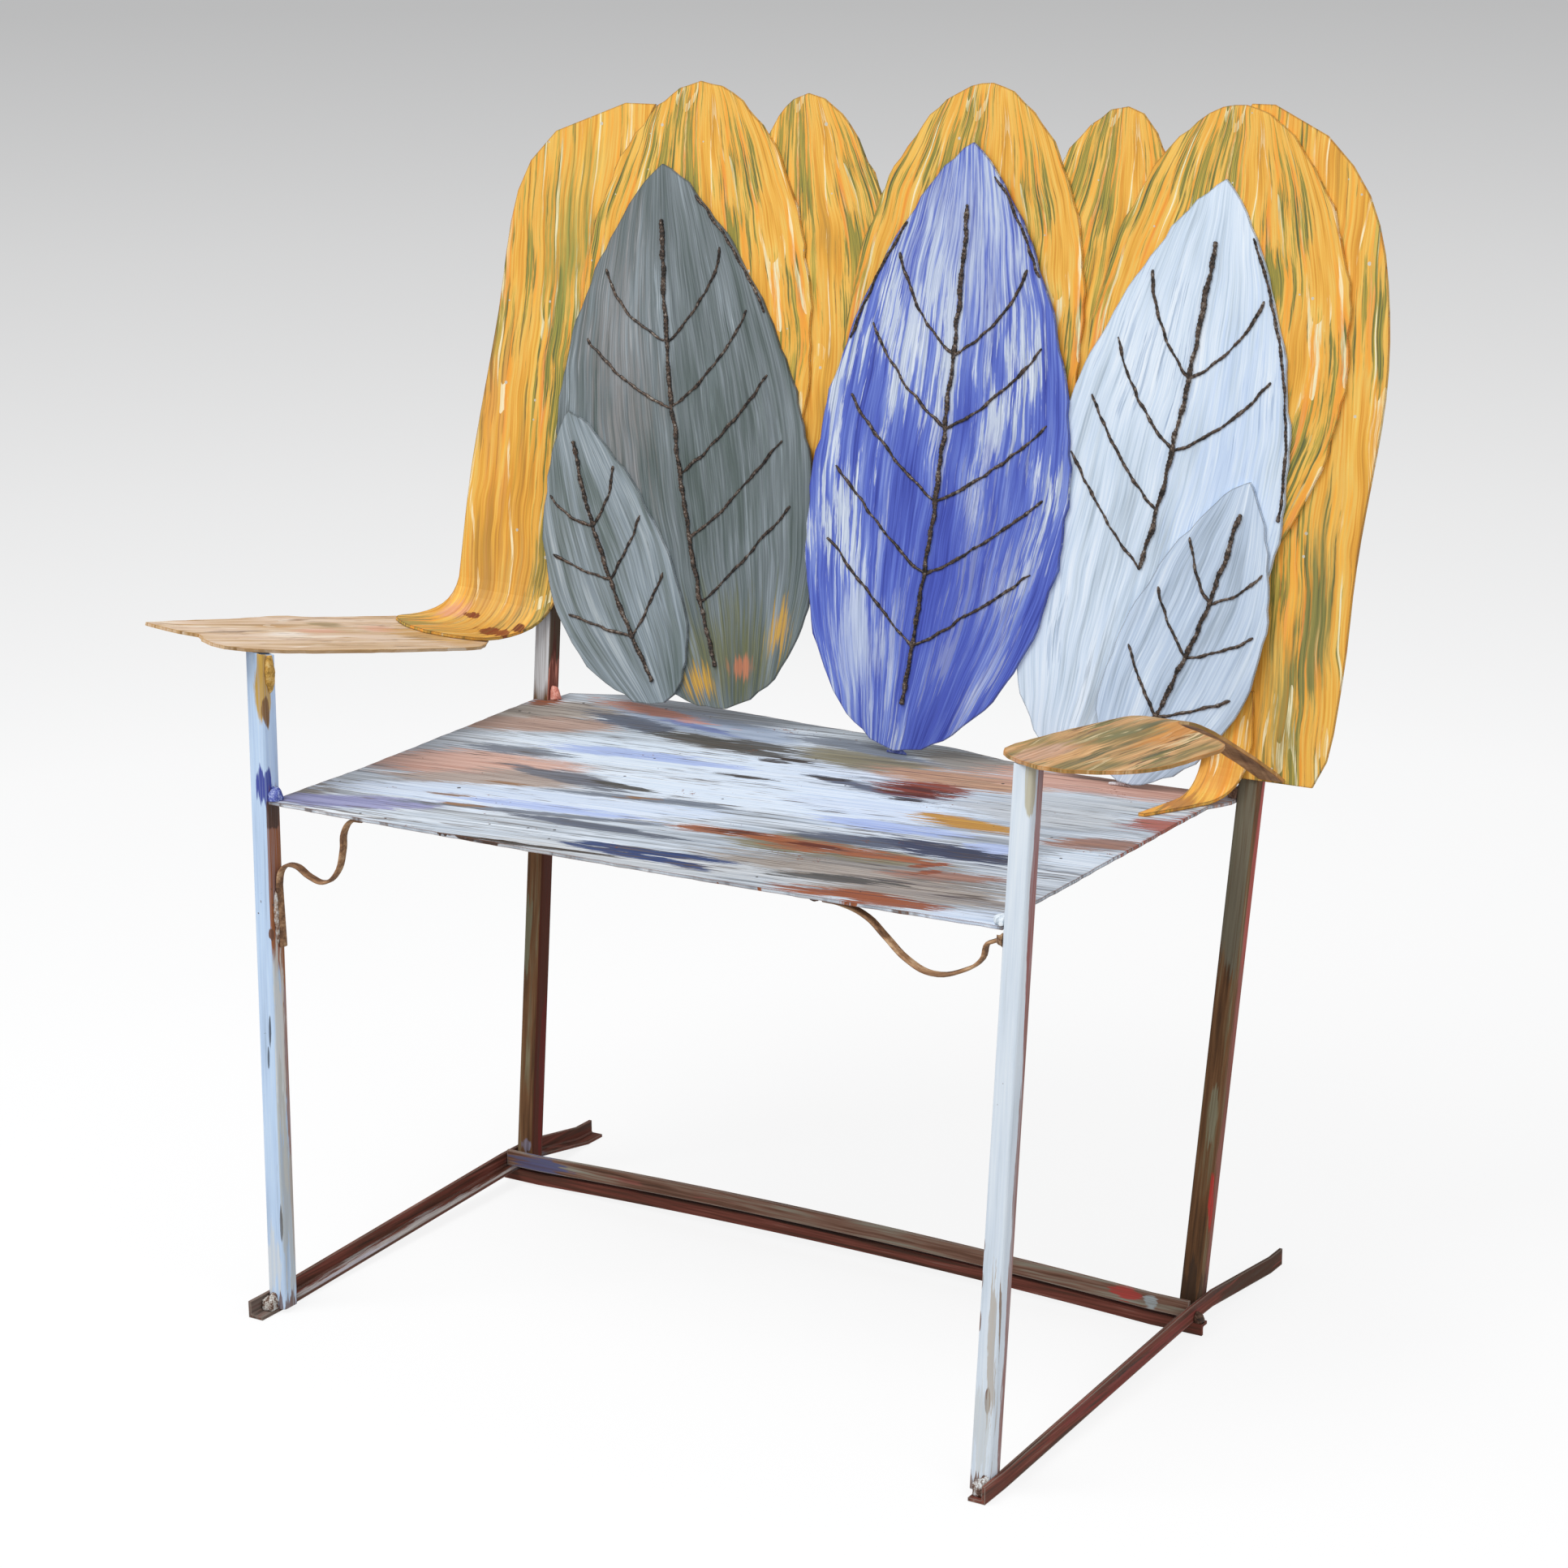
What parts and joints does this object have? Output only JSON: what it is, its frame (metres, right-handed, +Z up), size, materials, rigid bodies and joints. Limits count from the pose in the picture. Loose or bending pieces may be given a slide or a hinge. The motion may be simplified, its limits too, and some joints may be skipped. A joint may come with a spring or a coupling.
{
  "type": "garden bench",
  "caption": "Welded steel bench with tube legs, angle-iron runners, a flat sheet seat, leaf-shaped arms and a raked back of overlapping painted leaf plates.",
  "frame": {"origin": "on the floor, at the middle of the bench's bounding box", "axes": "+Z up, the sitter faces -Y, +X on the right of someone who looks at the front"},
  "size_m": [0.9974, 0.596, 1.0942],
  "materials": {
    "pale_blue_paint": "brushed gloss paint, chipped and rust stained",
    "cobalt_paint": "streaky brushed paint, semi-matt",
    "charcoal_paint": "streaky brushed paint, semi-matt",
    "marigold_paint": "streaky brushed paint over olive, semi-matt",
    "ochre_paint": "worn brushed paint, matt",
    "seat_paint": "several worn coats streaked along the seat, rust through",
    "rusty_paint": "thin red-brown paint over rust, matt",
    "weld_metal": "lumpy weld metal, painted over and rusted"
  },
  "bodies": {
    "root": {"centre_leaf": "cobalt_paint", "centre_leaf_rib": "weld_metal", "centre_leaf_weld": "weld_metal", "crest_leaf_1": "marigold_paint", "crest_leaf_2": "marigold_paint", "crest_leaf_3": "marigold_paint", "crest_leaf_4": "marigold_paint", "crest_leaf_5": "marigold_paint", "left_arm_plate": "ochre_paint", "left_arm_weld": "weld_metal", "left_bracket_weld": "weld_metal", "left_front_foot_weld": "weld_metal", "left_front_post": "pale_blue_paint", "left_front_seat_weld": "weld_metal", "left_leaf": "charcoal_paint", "left_leaf_rib": "weld_metal", "left_rear_foot_weld": "weld_metal", "left_rear_post": "rusty_paint", "left_rear_seat_weld": "weld_metal", "left_runner": "rusty_paint", "left_scroll_bracket": "rusty_paint", "left_wing_plate": "marigold_paint", "left_wing_weld": "weld_metal", "lower_left_leaf": "charcoal_paint", "lower_left_leaf_rib": "weld_metal", "lower_right_leaf": "pale_blue_paint", "lower_right_leaf_rib": "weld_metal", "lower_stretcher": "rusty_paint", "right_arm_plate": "ochre_paint", "right_arm_weld": "weld_metal", "right_bracket_weld": "weld_metal", "right_front_foot_weld": "weld_metal", "right_front_post": "pale_blue_paint", "right_front_seat_weld": "weld_metal", "right_leaf": "pale_blue_paint", "right_leaf_rib": "weld_metal", "right_leaf_weld": "weld_metal", "right_rear_foot_weld": "weld_metal", "right_rear_post": "rusty_paint", "right_rear_seat_weld": "weld_metal", "right_runner": "rusty_paint", "right_scroll_bracket": "rusty_paint", "right_wing_plate": "marigold_paint", "right_wing_tongue": "marigold_paint", "right_wing_weld": "weld_metal", "seat_sheet": "seat_paint", "stretcher_end_weld": "weld_metal", "upper_stretcher": "rusty_paint"}
  },
  "joints": []
}
